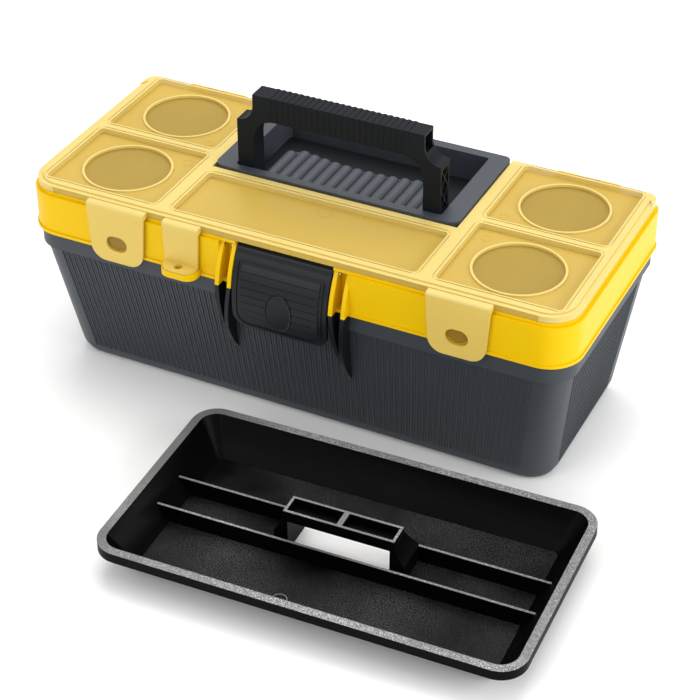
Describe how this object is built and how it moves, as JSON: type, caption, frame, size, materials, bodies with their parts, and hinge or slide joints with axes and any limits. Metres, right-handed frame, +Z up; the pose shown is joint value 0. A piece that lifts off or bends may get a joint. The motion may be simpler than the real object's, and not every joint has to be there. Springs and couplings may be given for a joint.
{
  "type": "toolbox with tray",
  "caption": "Plastic toolbox with a hinged lid, clear organizer bins on top, a folding handle in a recessed well, a front latch and a lift-out tray.",
  "frame": {"origin": "centre of the tub's underside", "axes": "+Z up, +X along the length to the right, -Y out of the front with the latch"},
  "size_m": [0.4421, 0.3686, 0.208],
  "materials": {
    "tub": "dark slate, vertically ribbed",
    "lid": "bright yellow, satin",
    "cover": "see-through amber with a fine grain",
    "divider": "see-through amber",
    "well": "dark grey, ridged",
    "handle": "black, ribbed grip",
    "latch": "black, grooved",
    "tray": "black, fine grain",
    "steel": "plain drawn wire"
  },
  "bodies": {
    "base": {"base_tub": "tub", "hinge_pin_left": "steel", "hinge_pin_right": "steel"},
    "lid": {"lid_shell": "lid", "handle_well": "well", "well_screws": "steel", "divider_rear_left": "divider", "divider_rear_right": "divider", "divider_front_left": "divider", "divider_front_right": "divider", "divider_long_left": "divider", "divider_long_right": "divider", "cover_pin_left": "steel", "cover_pin_right": "steel", "handle_pin_left": "steel", "handle_pin_right": "steel", "latch_pin": "steel"},
    "cover": {"organizer_cover": "cover"},
    "handle": {"handle": "handle"},
    "latch": {"latch": "latch"},
    "tray": {"tray": "tray"}
  },
  "joints": [
    {"name": "lid_hinge", "type": "hinge", "parent": "base", "child": "lid", "pos_m": [0, 0.0924, 0.1124], "axis": [-1, 0, 0], "range_deg": [0, 100]},
    {"name": "cover_hinge", "type": "hinge", "parent": "lid", "child": "cover", "pos_m": [0, 0.0902, 0.143], "axis": [-1, 0, 0], "range_deg": [0, 17]},
    {"name": "latch_hinge", "type": "hinge", "parent": "lid", "child": "latch", "pos_m": [0, -0.08029, 0.1384], "axis": [-1, 0, 0], "range_deg": [0, 95]},
    {"name": "handle_fold", "type": "hinge", "parent": "lid", "child": "handle", "pos_m": [0, 0.00295, 0.14], "axis": [-1, 0, 0], "range_deg": [0, 90]},
    {"name": "tray_lift", "type": "slide", "parent": "base", "child": "tray", "axis": [0, 0, 1], "range_m": [0, 0.26]}
  ]
}
